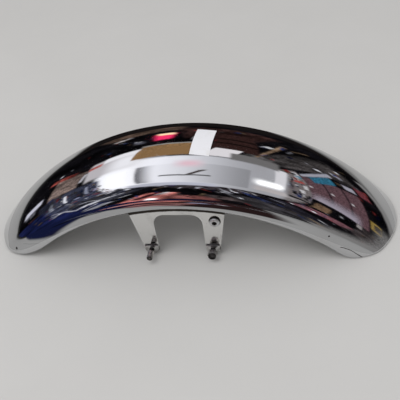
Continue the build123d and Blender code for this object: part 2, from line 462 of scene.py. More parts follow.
# %% A socket that does arithmetic
class Wire:
    """Output socket in a node tree. Arithmetic on it adds Math nodes, and node() adds any other node."""

    def __init__(self, tree, socket=None):
        self.tree = tree
        self.socket = socket

    def node(self, kind, settings=None, sockets=None, out=0):
        """Add a node: its settings first, then the values or links of its sockets. Returns one output."""
        made = self.tree.nodes.new(kind)
        for name, value in (settings or {}).items():
            setattr(made, name, value)
        for name, value in (sockets or {}).items():
            if isinstance(value, Wire):
                self.tree.links.new(value.socket, made.inputs[name])
            else:
                made.inputs[name].default_value = value
        return Wire(self.tree, made.outputs[out])

    def math(self, operation, first, second=0.0):
        return self.node("ShaderNodeMath", {"operation": operation}, {0: first, 1: second})

    def into(self, socket):
        self.tree.links.new(self.socket, socket)

    def __add__(self, other):
        return self.math("ADD", self, other)

    def __radd__(self, other):
        return self.math("ADD", other, self)

    def __sub__(self, other):
        return self.math("SUBTRACT", self, other)

    def __rsub__(self, other):
        return self.math("SUBTRACT", other, self)

    def __mul__(self, other):
        return self.math("MULTIPLY", self, other)

    def __rmul__(self, other):
        return self.math("MULTIPLY", other, self)

    def __abs__(self):
        return self.math("ABSOLUTE", self)


print("sockets can add, subtract and multiply")

# %% A new finish and its places
def new_finish(name):
    """Material with its shader and the object's own coordinates, in metres."""
    finish = bpy.data.materials.new(name)
    finish.use_nodes = True
    shader = finish.node_tree.nodes["Principled BSDF"]
    place = Wire(finish.node_tree).node("ShaderNodeTexCoord", out="Object")
    return finish, shader, place


def parted(place):
    """The three coordinates of a place as separate values."""
    parts = place.node("ShaderNodeSeparateXYZ", {}, {0: place}).socket.node
    return [Wire(place.tree, part) for part in parts.outputs]


def stretched(place, scales):
    """Place times a scale in each direction, which pulls a pattern long where the scale is small."""
    return place.node("ShaderNodeVectorMath", {"operation": "MULTIPLY"}, {0: place, 1: scales})


def distance(place, point):
    """Distance from a point that is given in millimetres."""
    centre = tuple(c * MM for c in point)
    return place.node("ShaderNodeVectorMath", {"operation": "DISTANCE"}, {0: place, 1: centre}, out="Value")


print("places and distances ready")

# %% Patterns and masks
def noise(place, scale, detail=3.0, roughness=0.55):
    sockets = {"Vector": place, "Scale": scale, "Detail": detail, "Roughness": roughness}
    return place.node("ShaderNodeTexNoise", {}, sockets)


def spots(place, scale):
    """Distance from the nearest of many scattered points."""
    return place.node("ShaderNodeTexVoronoi", {}, {"Vector": place, "Scale": scale}, out="Distance")


def ramp(value, low, high):
    """0 below low, 1 above high, smooth between. With low above high it falls instead."""
    return value.node(
        "ShaderNodeMapRange",
        {"interpolation_type": "SMOOTHSTEP"},
        {"Value": value, "From Min": low, "From Max": high, "To Min": 0.0, "To Max": 1.0},
    )


def ramp_mm(value, low, high):
    """The same ramp for a length, with its two ends in millimetres."""
    return ramp(value, low * MM, high * MM)


def union(*masks):
    """Mask that is 1 wherever one of the masks is."""
    whole = masks[0]
    for mask in masks[1:]:
        whole = whole.math("MAXIMUM", whole, mask)
    return whole


print("patterns and masks ready")

# %% Colour and bump
def as_colour(value):
    """A link as it is, or a colour with its alpha."""
    return value if isinstance(value, Wire) else (*value, 1.0)


def mixed(share, first, second):
    """Colour that goes from first to second."""
    # A Mix node numbers its two colours 6 and 7, and its colour output 2.
    sockets = {0: share, 6: as_colour(first), 7: as_colour(second)}
    return share.node("ShaderNodeMix", {"data_type": "RGBA"}, sockets, out=2)


def bumped(height, shader, depth):
    """Bend the shader's normal by a height of 0 to 1 that stands for this depth."""
    sockets = {"Height": height, "Distance": depth, "Strength": 1.0}
    height.node("ShaderNodeBump", {}, sockets, out="Normal").into(shader.inputs["Normal"])


print("colour and bump ready")

# %% [markdown]
# ## Chrome of the shell
# Polished chrome has almost no colour of its own: what the eye sees is the room. A plain mirror would do
# for a new part, but this one is worn: wiping leaves streaks, hands leave dull patches, small stones
# leave pits that go dark, and a few lines are scored into the flank. A painted picture could hold all
# that. Masks made of noise and distance need no picture and stay sharp up close. The pressing is not
# perfectly even, so a very low bump bends the mirror.

# %% Marks on the chrome
mark_core = 0.45
score_core = 0.3
score_end_soft = 0.5
edge_wander = 1.2 * MM


def mark_at(place, point, size):
    """Small round mark at one point, given in millimetres."""
    return ramp_mm(distance(place, point), size, size * mark_core)


def scored_line(place, start, end, width):
    """Thin line scored into the left flank between two points of the side view, in millimetres."""
    x, _, z = parted(place)
    run = Vector(end) - Vector(start)
    ux, uz = run.normalized()
    x, z = x - start[0] * MM, z - start[1] * MM
    along = x * ux + z * uz
    aside = abs(z * ux - x * uz)
    after_start = ramp_mm(along, -score_end_soft, score_end_soft)
    before_end = ramp_mm(along, run.length + score_end_soft, run.length - score_end_soft)
    return after_start * before_end * ramp_mm(aside, width, width * score_core)


def from_axis(place, x, z):
    """Distance from a line across the part, through a point of the side view in millimetres."""
    return distance(stretched(place, (1.0, 0.0, 1.0)), (x, 0.0, z))


def ragged(place):
    """Small change of a distance that makes the edge of a painted shade uneven."""
    return (noise(place, 160.0) - 0.5) * edge_wander


print("marks ready")

# %% Pits, scores and painted shade on the shell
front_pit, front_pit_size = (-232.5, -72.7, 10.8), 2.6
rear_pit, rear_pit_size = (187.3, -77.3, 37.2), 1.6
score_start, score_knee, score_end, score_width = (202.4, 21.8), (214.5, 16.0), (229.2, 2.8), 0.75
faint_start, faint_end, faint_width = (-217.7, 22.1), (-190.0, 26.8), 0.5
faint_share = 0.35
score_waver = 0.003
flank_edge = (-60.0, -66.0)
edge_shade_above_rim = (2.3, 1.2)
edge_shade_ends = (65.0, 60.0)

chrome, shader, place = new_finish("polished_chrome")
pits = ramp(spots(place, 170.0), 0.1, 0.05) * ramp(noise(place, 11.0, 2.0), 0.6, 0.72)
pits = union(pits, mark_at(place, front_pit, front_pit_size), mark_at(place, rear_pit, rear_pit_size))

left_flank = ramp_mm(parted(place)[1], *flank_edge)
waver = place.node("ShaderNodeTexNoise", {}, {"Vector": place, "Scale": 90.0}, out="Color")
waver = stretched(waver, (score_waver,) * 3)
shaken = place.node("ShaderNodeVectorMath", {"operation": "ADD"}, {0: place, 1: waver})
score_upper = scored_line(shaken, score_start, score_knee, score_width)
score_lower = scored_line(shaken, score_knee, score_end, score_width)
scores = union(score_upper, score_lower) * left_flank
faint_score = scored_line(shaken, faint_start, faint_end, faint_width) * left_flank

# Painted shade: the rounded lower edge of the rim goes dark over the bracket.
edge_shade_top, edge_shade_foot = [rim_radius + above for above in edge_shade_above_rim]
edge_shade = ramp_mm(from_axis(place, 0, -axle_drop) + ragged(place), edge_shade_top, edge_shade_foot)
edge_shade = edge_shade * ramp_mm(abs(parted(place)[0]), *edge_shade_ends)
# Pits and scores are real marks; the dark band along the rim is painted shade.
darkening = union(edge_shade, pits, scores)
print("marks on the shell:", len(place.tree.nodes), "nodes")

# %% Chrome outside
clean_chrome, hazy_chrome = (0.59, 0.595, 0.605), (0.565, 0.565, 0.57)
faint_grey, mark_and_shade_black = (0.2, 0.19, 0.18), (0.035, 0.03, 0.026)
hand_marks = ramp(noise(place, 16.0, 4.0), 0.5, 0.75)
wiping = ramp(noise(stretched(place, (9.0, 130.0, 60.0)), 1.0), 0.45, 0.8)
hairlines = ramp(noise(stretched(place, (22.0, 1500.0, 900.0)), 1.0, 2.0), 0.66, 0.74)
roughness = 0.028 + 0.05 * hand_marks + 0.035 * wiping + 0.14 * hairlines + 0.4 * darkening
roughness.into(shader.inputs["Roughness"])
film = mixed(hand_marks, clean_chrome, hazy_chrome)
film = mixed(faint_score * faint_share, film, faint_grey)
# Pits, scores and the painted shade along the rim turn nearly black.
mixed(darkening, film, mark_and_shade_black).into(shader.inputs["Base Color"])
shader.inputs["Metallic"].default_value = 1.0
waves = noise(place, 24.0, 2.0) + 0.02 * hairlines - 0.25 * pits - 0.2 * scores
bumped(waves, shader, 0.12 * MM)
shell.data.materials.append(chrome)
print("chrome of %d nodes" % len(place.tree.nodes))

# %% [markdown]
# The inside of the sheet is plated but never polished, and water from the wheel leaves grime and rust on
# it. Two materials mixed by a mask could show that. Here one material is enough, because the same mask
# drives colour, roughness and metal, so a rusty spot is brown, rough and dull at once.

# %% Dull plating inside the shell
bare_plating, grimy_plating, rust_brown = (0.47, 0.47, 0.46), (0.27, 0.26, 0.25), (0.16, 0.075, 0.035)
plating, shader, place = new_finish("dull_plating")
darkening = ramp(noise(place, 30.0, 5.0, 0.65), 0.42, 0.7)
rust = ramp(noise(place, 75.0, 4.0, 0.6), 0.62, 0.72) * ramp(noise(place, 9.0, 2.0), 0.48, 0.62)
film = mixed(darkening, bare_plating, grimy_plating)
mixed(rust, film, rust_brown).into(shader.inputs["Base Color"])
(0.3 + 0.22 * darkening + 0.3 * rust).into(shader.inputs["Roughness"])
(1 - 0.8 * rust).into(shader.inputs["Metallic"])
bumped(noise(place, 260.0) + rust, shader, 0.1 * MM)
shell.data.materials.append(plating)
print("shell finishes:", [finish.name for finish in shell.data.materials])

# %% [markdown]
# ## Bracket
# The bracket is plated like the shell but was never polished as well, so it keeps a soft grain from the
# sheet. An anisotropic shader could give the grain, but noise pulled long along the legs also bends the
# mirror a little, as the real grain does. Painted shade darkens the plate under the rim, and round the
# screw and the collars. Each is a distance turned into a mask, with some noise so that its edge is
# ragged. Small specks of dirt lie on top.

# %% Where shade is painted on the bracket, and specks of dirt
screw_low, screw_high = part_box("hose_screw")
screw_x, screw_z = [(screw_low[axis] + screw_high[axis]) / 2 / MM for axis in (0, 2)]
screw_head_radius = 7.0
under_rim_shade_below = (9.0, 7.9)
ring_outside = (1.1, 0.3)
flat_above = (1.2, 0.4)
face_inside = (1.5, 0.5)
left_edge = (0.0, -1.0)

bracket_chrome, shader, place = new_finish("bracket_chrome")
across_part, height = parted(place)[1:]
wander = ragged(place)


def ring_of_shade(x, z, radius):
    """Painted shade round a head or a collar, whose centre is a point of the side view."""
    return ramp_mm(from_axis(place, x, z) + wander, *[radius + out for out in ring_outside])


# Painted shade: a dark band on the plate just under the rim.
from_rim = from_axis(place, 0, -axle_drop) + wander
under_rim_shade = ramp_mm(from_rim, *[rim_radius - below for below in under_rim_shade_below])
# Painted shade: rings round the screw head, and round the collars below their flat tops.
screw_ring = ring_of_shade(screw_x, screw_z, screw_head_radius) * ramp_mm(across_part, *left_edge)
below_flats = ramp_mm(height, *[stud_height + collar_top + above for above in flat_above])
collar_rings = [ring_of_shade(x, stud_height, collar_radius) for x in (-stud_offset, stud_offset)]
rings_of_shade = union(screw_ring, union(*collar_rings) * below_flats)
outer_face = ramp_mm(abs(across_part), *[plate_outside - inward for inward in face_inside])
specks = ramp(spots(place, 240.0), 0.12, 0.06) * ramp(noise(place, 17.0, 2.0), 0.56, 0.66)
# Only the specks are dirt; the rest of this mask is painted shade.
shade_and_specks = union(union(under_rim_shade, rings_of_shade) * outer_face, specks)
print("hose screw at", round(screw_x, 1), round(screw_z, 1))

# %% Chrome of the bracket
clean_plating, handled_plating = (0.76, 0.755, 0.742), (0.64, 0.635, 0.623)
shade_and_speck_black = (0.05, 0.043, 0.037)
grain = noise(stretched(place, (420.0, 420.0, 26.0)), 1.0)
handled = ramp(noise(place, 38.0, 4.0), 0.48, 0.72)
film = mixed(handled, clean_plating, handled_plating)
# The painted shade and the specks turn the plating nearly black.
mixed(shade_and_specks, film, shade_and_speck_black).into(shader.inputs["Base Color"])
(0.09 + 0.06 * grain + 0.1 * handled + 0.3 * shade_and_specks).into(shader.inputs["Roughness"])
shader.inputs["Metallic"].default_value = 1.0
bumped(grain - shade_and_specks, shader, 0.03 * MM)


def dress(node, finish):
    """Give a CAD node one finish in place of its plain one."""
    node.data.materials.clear()
    node.data.materials.append(finish)


dress(nodes["fork_bracket"], bracket_chrome)
print("bracket:", bracket_chrome.name)

# %% [markdown]
# ## Studs, screw and nuts
# The studs and the lock nut are plain steel. Their collars were plated with the bracket, the necks are
# black, and the threads are worn grey up to a black tip, which is painted shade on the end. The hose
# screw is bright plated, with painted shade in its socket and round its brim, and the nut behind it is
# zinc. Each part of a stud could have faces and a material of its own. A ramp on the distance from the
# middle plane gives softer borders, and one finish then serves both sides.

# %% Collars, necks and threads
collar_end = plate_outside + collar_height
neck_end = plate_outside + thread_start
front_tip, rear_tip, tip_share = 1.6, 1.7, 0.9
thread_soft, collar_soft = 1.5, 0.5
neck_black, tip_shade_black = (0.035, 0.032, 0.03), (0.02, 0.018, 0.017)
worn_steel, oily_steel = (0.6, 0.585, 0.57), (0.36, 0.345, 0.33)
collar_plating, collar_oil = (0.58, 0.575, 0.565), (0.4, 0.39, 0.38)


def turned_steel(name, tip_start):
    """Steel of a stud, outward from the bracket: bright collar, black neck, grey thread, and a black tip of
    painted shade.
    """
    finish, shader, place = new_finish(name)
    oil = ramp(noise(place, 140.0, 4.0), 0.4, 0.68)
    outward = abs(parted(place)[1])
    thread = ramp_mm(outward, neck_end, neck_end + thread_soft)
    collar = ramp_mm(outward, collar_end + collar_soft, collar_end)
    tip = ramp_mm(outward, tip_start, tip_start + thread_soft)
    steel = mixed(thread, neck_black, mixed(oil, worn_steel, oily_steel))
    steel = mixed(collar, steel, mixed(oil, collar_plating, collar_oil))
    # The black tip is painted shade on the stud's end.
    mixed(tip * tip_share, steel, tip_shade_black).into(shader.inputs["Base Color"])
    (0.26 + 0.2 * oil + 0.15 * tip).into(shader.inputs["Roughness"])
    shader.inputs["Metallic"].default_value = 1.0
    bumped(noise(place, 900.0, 2.0), shader, 0.03 * MM)
    return finish


front_steel = turned_steel("front_stud_steel", plate_outside + front_length - front_tip)
rear_steel = turned_steel("rear_stud_steel", plate_outside + rear_length - rear_tip)
for stud, finish in zip(studs, (front_steel, rear_steel, front_steel, rear_steel)):
    stud.data.materials.append(finish)
dress(nodes["left_rear_nut"], rear_steel)
print("studs:", front_steel.name, rear_steel.name)

# %% Bright screw
socket_edge = (3.6, 2.6)
brim_inside = (0.5, 0.1)
bright_plating, scuffed_plating, socket_shade_black = (0.58, 0.58, 0.59), (0.42, 0.41, 0.4), (0.04, 0.036, 0.033)
screw_chrome, shader, place = new_finish("screw_chrome")
scuffs = ramp(noise(place, 320.0, 4.0), 0.5, 0.72)
screw_gap = from_axis(place, screw_x, screw_z)
# Painted shade: the hex socket and a thin ring round the brim of the head go nearly black.
socket = ramp_mm(screw_gap, *socket_edge)
brim_shade = ramp_mm(screw_gap, *[screw_head_radius - inward for inward in brim_inside])
film = mixed(scuffs, bright_plating, scuffed_plating)
mixed(union(socket, brim_shade), film, socket_shade_black).into(shader.inputs["Base Color"])
(0.34 + 0.14 * scuffs + 0.2 * socket).into(shader.inputs["Roughness"])
shader.inputs["Metallic"].default_value = 0.65
bumped(scuffs, shader, 0.02 * MM)
dress(nodes["hose_screw"], screw_chrome)
print("screw:", screw_chrome.name)

# %% Zinc nut
bright_zinc, dull_zinc = (0.52, 0.53, 0.55), (0.4, 0.4, 0.38)
nut_zinc, shader, place = new_finish("nut_zinc")
bloom = ramp(noise(place, 210.0, 4.0), 0.42, 0.66)
mixed(bloom, bright_zinc, dull_zinc).into(shader.inputs["Base Color"])
(0.28 + 0.2 * bloom).into(shader.inputs["Roughness"])
shader.inputs["Metallic"].default_value = 1.0
bumped(bloom, shader, 0.04 * MM)
dress(nodes["hose_screw_nut"], nut_zinc)
print("nut:", nut_zinc.name)

# %% [markdown]
# ## Paper strip
# A strip of white paper is stuck across the crown. Paper is a felt of fibres, so up close it is not one
# white: fine noise pulled in two directions gives the fibres, and a slow noise gives the cockle where the
# glue took.

# %% Paper
white_paper, soiled_paper = (0.83, 0.835, 0.88), (0.75, 0.745, 0.755)
paper, shader, place = new_finish("white_paper")
fibres_across = noise(stretched(place, (2600.0, 500.0, 2600.0)), 1.0, 2.0)
fibres_along = noise(stretched(place, (500.0, 2600.0, 2600.0)), 1.0, 2.0)
cockle = noise(place, 95.0, 2.0)
soil = ramp(noise(place, 60.0, 4.0), 0.5, 0.78)
mixed(soil, white_paper, soiled_paper).into(shader.inputs["Base Color"])
(0.78 + 0.1 * cockle).into(shader.inputs["Roughness"])
bumped(cockle + 0.12 * (fibres_across + fibres_along), shader, 0.3 * MM)
dress(nodes["paper_strip"], paper)
print("paper:", paper.name)

# %% [markdown]
# ## Floor and light
# The mudguard stands on a plain pale floor, with an even pale sky behind it all. A sun lamp would cast a
# hard shadow, so the main light is a large disc. A second disc, low on the left side, keeps the shade
# under the arch from going black. Both lamps are kept out of the mirror, because what the chrome shows is
# arranged separately below.

# %% Floor and sky
floor_reach = 30.0
floor_dark, floor_pale = (0.585, 0.58, 0.572), (0.625, 0.62, 0.612)
sky_colour = (0.69, 0.685, 0.68)


def stage_mesh(name, points, faces):
    """Stage object from points in metres."""
    mesh = bpy.data.meshes.new(name)
    mesh.from_pydata(np.asarray(points, dtype=float).tolist(), [], np.asarray(faces).tolist())
    stand = bpy.data.objects.new(name, mesh)
    bpy.context.scene.collection.objects.link(stand)
    return stand


floor_corners = floor_reach * np.array([(-1, -1, 0), (1, -1, 0), (1, 1, 0), (-1, 1, 0)])
floor = stage_mesh("pale_floor", floor_corners, [(0, 1, 2, 3)])
floor_paint, shader, place = new_finish("floor_paint")
mixed(noise(place, 6.0, 4.0), floor_dark, floor_pale).into(shader.inputs["Base Color"])
shader.inputs["Roughness"].default_value = 0.9
shader.inputs["Specular IOR Level"].default_value = 0.2
floor.data.materials.append(floor_paint)

sky = bpy.data.worlds.new("pale_sky")
sky.use_nodes = True
sky.node_tree.nodes["Background"].inputs["Color"].default_value = as_colour(sky_colour)
bpy.context.scene.world = sky
print("floor reaches %.0f m" % floor_reach)

# %% Two soft lamps
def soft_lamp(name, location, size, energy):
    """Disc lamp aimed at the part, hidden from mirrors."""
    lamp_data = bpy.data.lights.new(name, "AREA")
    lamp_data.shape = "DISK"
    lamp_data.size = size
    lamp_data.energy = energy
    lamp = bpy.data.objects.new(name, lamp_data)
    bpy.context.scene.collection.objects.link(lamp)
    lamp.location = location
    lamp.rotation_mode = "QUATERNION"
    lamp.rotation_quaternion = lamp.location.to_track_quat("Z", "Y")
    lamp.visible_glossy = False
    return lamp


lamps = [
    soft_lamp("high_lamp", (-0.8, -1.0, 2.6), size=2.4, energy=26.0),
    soft_lamp("low_lamp", (0.4, -2.4, 1.15), size=1.6, energy=4.0),
]
print("lamps:", [lamp.name for lamp in lamps])

# %% [markdown]
# ## What the chrome mirrors
# A mirror in an empty white studio looks like grey plaster. A workshop has a pale ceiling, dark walls
# full of shelves and a pale floor, and those bands are what make the shell read as chrome. A picture of a
# room wrapped round the world would do it, but plain cards with soft edges are enough. They are painted
# on the points of a dome that only mirrors can see. Azimuth 0 is straight out from the left side, and 90
# is straight back from the rear end.

# %% Dome of directions
dome_radius = 12.0
dome_foot, dome_top = -1, 90
azimuth_steps, elevation_steps = 720, 182
azimuth = np.linspace(-180, 180, azimuth_steps + 1)[:-1]
elevation = np.linspace(dome_foot, dome_top, elevation_steps + 1)
dome_azimuth, dome_elevation = np.meshgrid(azimuth, elevation)
around, up = np.radians(dome_azimuth), np.radians(dome_elevation)
direction = np.stack([np.cos(up) * np.sin(around), -np.cos(up) * np.cos(around), np.sin(up)], axis=-1)

# The ceiling is a plane overhead. Its places are in units of its height above the part.
lowest_rise = 0.1
rise = np.maximum(direction[..., 2], lowest_rise)
overhead_x, overhead_y = direction[..., 0] / rise, direction[..., 1] / rise
print("dome of %d by %d points" % dome_azimuth.shape)

# %% Cards with soft edges
def smooth(value):
    value = np.clip(value, 0, 1)
    return value * value * (3 - 2 * value)


def inside_of(value, span, soft):
    """1 between the two ends of a span, 0 outside, with soft ends."""
    return smooth((value - span[0]) / soft + 0.5) * smooth((span[1] - value) / soft + 0.5)


def fading(value, start, reach, soft):
    """0 before start, 1 just after it, and fading to 0 again at the end of its reach."""
    return smooth((value - start) / soft + 0.5) * (1 - smooth((value - start) / reach))


def lay(paint, share, colour):
    """Lay a colour over a painting where share is 1."""
    return paint + (np.array(colour) - paint) * share[..., None]


def wall_card(paint, azimuths, elevations, colour, soft=2.0, slant=0.0):
    """Lay a card on the walls, between two azimuths and two elevations. A slant leans it sideways."""
    middle = sum(azimuths) / 2
    away = (dome_azimuth - middle + 180) % 360 - 180 - slant * (dome_elevation - sum(elevations) / 2)
    half = (azimuths[1] - azimuths[0]) / 2
    share = inside_of(away, (-half, half), soft) * inside_of(dome_elevation, elevations, soft)
    return lay(paint, share, colour)


def ceiling_card(paint, across, along, colour, soft=0.05, slant=0.0):
    """Lay a card on the ceiling, between two distances back and two distances to the right."""
    sideways = overhead_x - slant * (overhead_y - sum(along) / 2)
    return lay(paint, inside_of(sideways, across, soft) * inside_of(overhead_y, along, soft), colour)


print("cards ready")

# %% Walls
wall_black = (0.006, 0.0055, 0.007)
room = np.zeros(direction.shape) + wall_black
wall_cards = [
    # Bright windows beyond the front end
    ((-148, -62), (44, 62), (0.3, 0.3, 0.33), 4.0),
    ((-118, -64), (50, 64), (1.5, 1.5, 1.58), 4.0),
    ((-116, -99), (41, 48), (1.3, 1.3, 1.36), 3.0),
    ((-141, -121), (38, 45), (0.8, 0.77, 0.8), 2.0, 0.2),
    # Boxes and boards beside them
    ((-127, -124), (33, 37), (0.34, 0.1, 0.11), 1.5),
    ((-168, -150), (-2, 11), (0.13, 0.085, 0.065), 4.0),
    ((-154, -149), (11, 14), (0.5, 0.46, 0.45), 1.2),
    ((-153, -150), (26, 31), (0.16, 0.16, 0.2), 1.5),
    ((-120, -103), (17, 32), (0.34, 0.25, 0.22)),
    ((-122, -119), (12, 26), (0.3, 0.06, 0.05), 1.2),
    ((-106, -103.5), (4, 11), (0.25, 0.25, 0.3), 1.0, -0.3),
    # Blue sheeting and bright gaps towards the front
    ((-102, -58), (13, 46), (0.07, 0.077, 0.125), 3.0),
    ((-98, -80), (19, 21), (0.4, 0.42, 0.5), 1.2),
    ((-92, -34), (-4, 16), (0.014, 0.02, 0.085), 4.0),
    ((-58, -34), (16, 48), (0.05, 0.052, 0.07), 5.0),
    ((-45, -41), (12, 30), (0.6, 0.6, 0.66), 2.0, 0.2),
    ((-36, -32), (0, 12), (0.4, 0.4, 0.45), 2.0, 0.2),
    ((-60, -26), (50, 62), (0.8, 0.8, 0.92), 5.0),
    # Dark beam and red bodywork on the left
    ((-27, 34), (44, 58), (0.06, 0.05, 0.056), 5.0),
    ((-25, -14), (-4, 27), (1.0, 0.33, 0.29), 3.0, 0.12),
    ((-23, -20), (4, 22), (0.08, 0.03, 0.035), 1.5, 0.12),
    ((-18, -15), (18, 27), (0.95, 0.55, 0.53), 2.0, 0.12),
    ((-14, -2), (3, 17), (0.36, 0.13, 0.12), 4.0),
    # Grey things on the left
    ((-3, 8), (12, 24), (0.13, 0.1, 0.1), 4.0),
    ((-6, -1.5), (45, 52), (0.5, 0.5, 0.56), 1.5),
    ((6, 8.5), (37, 41), (0.5, 0.5, 0.54), 1.0),
    ((14.5, 17), (43, 46), (0.75, 0.75, 0.84), 1.0),
    ((8, 10), (26, 52), (0.3, 0.3, 0.33)),
    ((8, 36), (2, 34), (0.06, 0.056, 0.062), 4.0),
    ((17, 25), (12, 22), (0.11, 0.1, 0.115), 3.0),
    ((28, 44), (16, 42), (0.028, 0.026, 0.036), 4.0),
    # Shelves towards the rear
    ((54, 80), (45, 58), (0.46, 0.42, 0.42), 5.0),
    ((53, 69), (19, 42), (0.27, 0.12, 0.145), 3.5, -0.5),
    ((60, 93), (8, 20), (0.08, 0.065, 0.066), 3.0),
    ((74, 90), (34, 41), (0.25, 0.155, 0.095)),
    # Dark wall on the right
    ((134, 152), (10, 46), (0.07, 0.062, 0.062), 4.0),
    ((136, 158), (47, 60), (0.18, 0.17, 0.17), 3.0),
    ((155.5, 157.5), (18, 50), (0.3, 0.2, 0.13), 1.2, -0.3),
    ((168, 192), (6, 34), (0.045, 0.022, 0.02), 4.0),
]
for card in wall_cards:
    room = wall_card(room, *card)
print("%d cards on the walls, mean level %.2f" % (len(wall_cards), room.mean()))

# %% [markdown]
# Bare cards look cut from paper. A real wall is full of small things, so many little cards in the colours
# of tools, boxes and books go on top, and a smooth random field then makes every colour uneven. The
# random numbers start from one seed, so each run gives the same wall.

# %% Small things on the walls
clutter = np.random.default_rng(12)
clutter_colours = np.array(
    [
        (0.006, 0.006, 0.007),
        (0.02, 0.018, 0.02),
        (0.006, 0.008, 0.03),
        (0.07, 0.065, 0.07),
        (0.16, 0.11, 0.07),
        (0.2, 0.03, 0.03),
        (0.03, 0.05, 0.16),
        (0.3, 0.3, 0.34),
        (0.75, 0.75, 0.8),
    ]
)
clutter_levels = (0.6, 1.3)
clutter_slants = (-0.4, 0.4)
clutter_soft = 1.0


def scatter(paint, azimuths, elevations, widths, heights, count):
    """Lay many small cards in a part of the wall."""
    for _ in range(count):
        start, foot = clutter.uniform(*azimuths), clutter.uniform(*elevations)
        width, height = clutter.uniform(*widths), clutter.uniform(*heights)
        colour = clutter.choice(clutter_colours) * clutter.uniform(*clutter_levels)
        slant = clutter.uniform(*clutter_slants)
        paint = wall_card(paint, (start, start + width), (foot, foot + height), colour, clutter_soft, slant)
    return paint


clutter_zones = [
    ((-44, 46), (3, 52), (0.5, 1.8), (3, 12), 80),
    ((46, 150), (5, 44), (0.8, 3.0), (0.8, 3), 70),
    ((84, 131), (43, 55), (0.6, 1.6), (1.5, 5), 60),
    ((-105, -42), (4, 46), (0.8, 3.0), (0.8, 4), 70),
    ((-102, -56), (17, 44), (0.6, 2.6), (0.5, 1.6), 70),
    ((-158, -118), (12, 38), (0.5, 1.2), (0.6, 1.8), 40),
    ((150, 200), (8, 46), (0.6, 1.6), (2, 8), 30),
]
for zone in clutter_zones:
    room = scatter(room, *zone)
print("%d small things on the walls" % sum(zone[-1] for zone in clutter_zones))

# %% Uneven colours
lattice_reach = 100


def mottle(width, height):
    """Smooth random field over the dome, from 0 to 1, with spots of this width and height in degrees."""
    spots_round = int(360 / width)
    lattice = clutter.uniform(0, 1, (int(lattice_reach / height) + 2, spots_round))
    column, row = (dome_azimuth + 180) / 360 * spots_round, (dome_elevation - dome_foot) / height
    left, low = column.astype(int) % spots_round, row.astype(int)
    right, high = (left + 1) % spots_round, low + 1
    beside, above = smooth(column % 1), smooth(row % 1)
    lower = lattice[low, left] * (1 - beside) + lattice[low, right] * beside
    upper = lattice[high, left] * (1 - beside) + lattice[high, right] * beside
    return lower * (1 - above) + upper * above


small_spots = mottle(width=1.2, height=3.0)
large_spots = mottle(width=5.0, height=9.0)
unevenness = 0.25 + 1.8 * small_spots * large_spots + 0.3 * large_spots
room = room * unevenness[..., None]
print("wall colours vary from %.2f to %.2f times" % (unevenness.min(), unevenness.max()))

# %% [markdown]
# Some things catch the light in front of the uneven walls and keep their clear edges: glints, a pin board
# full of small sheets, and cupboard doors with a glare along one edge. They could be modelled as objects,
# but the chrome shows each only a few points wide, so cards do.

# %% Glints and a pin board
clear_cards = [
    # Pink thing with a pale top
    ((-164.5, -158.5), (19, 31), (1.5, 0.06, 0.24), 3.0, 0.25),
    ((-165.5, -160.5), (17.5, 22), (1.7, 1.2, 0.75)),
    # Glints towards the front, straight and slanting
    ((-109.5, -105.5), (3, 12.5), (0.85, 0.85, 0.98), 1.5, -0.2),
    ((-117, -108), (32, 33.7), (0.65, 0.63, 0.68), 1.2),
    ((-98, -81), (26.7, 28.2), (1.2, 1.2, 1.3), 1.2),
    ((-76, -66), (25.2, 26.6), (0.27, 0.27, 0.32), 1.2),
    ((-98, -81), (37.6, 39), (0.4, 0.42, 0.55), 1.2),
    ((-91.5, -83.5), (41.5, 43.5), (0.4, 0.41, 0.58), 1.2),
    ((-80, -76), (31.4, 33.8), (0.4, 0.42, 0.62), 1.2),
    ((-68, -55.5), (14.2, 15.8), (0.34, 0.34, 0.42), 1.2),
    ((-64, -58), (11, 12.4), (0.26, 0.27, 0.36), 1.2),
    ((-58.5, -55), (36, 39.5), (0.48, 0.47, 0.52), 1.5, 0.7),
    ((-57, -52.5), (39, 42), (0.58, 0.57, 0.63), 1.5, 0.8),
    ((-54.5, -51.5), (22.5, 25), (0.5, 0.5, 0.58), 1.2, 1.3),
    ((-52, -48.8), (10, 14.5), (0.7, 0.7, 0.78), 1.2, -2.4),
    ((-47.6, -44.4), (22, 25.4), (0.6, 0.6, 0.66), 1.2, -2.85),
    # Glint on the red bodywork
    ((-19.6, -17), (0, 6), (2.2, 2.1, 2.1), 1.5),
    # Pin board and what hangs on it
    ((84, 131), (43, 55), (0.24, 0.21, 0.21), 1.5),
    ((112.5, 116), (44.5, 49), (0.5, 0.1, 0.09), 1.0),
    ((120, 124), (43.5, 46), (0.1, 0.3, 0.42), 1.0),
    ((124, 129), (43.5, 46), (0.75, 0.74, 0.78), 1.0),
    ((116.5, 119.5), (46, 53), (0.7, 0.66, 0.62), 1.0),
    ((103, 111), (50, 52), (0.2, 0.16, 0.17), 1.0),
    ((104, 110), (44, 46), (0.75, 0.73, 0.74), 1.0),
    ((96, 101), (46, 48.5), (0.8, 0.78, 0.8), 1.0),
    ((97, 103), (51, 54), (0.16, 0.13, 0.15), 1.0),
    ((88, 95), (43, 44.5), (0.14, 0.12, 0.16), 1.0),
    ((86, 93), (48, 50.5), (0.2, 0.19, 0.24), 1.0),
]
for card in clear_cards:
    room = wall_card(room, *card)
print("%d clear cards" % len(clear_cards))

# %% Cupboard doors
door_azimuths, door_elevations, door_brown = (94, 125), (15, 43), (0.15, 0.082, 0.095)
gap_feet, gap_width, gap_black = (33, 23), 1, (0.03, 0.02, 0.025)
handle_azimuths, handle_feet, handle_width = (111, 113), (41, 31, 21), 1.5
handle_grey, door_soft = (0.7, 0.66, 0.68), 1.0
glare_colour, glare_elevations, glare_reach, glare_soft = (0.5, 0.45, 0.53), (20, 42), 13, 6.0

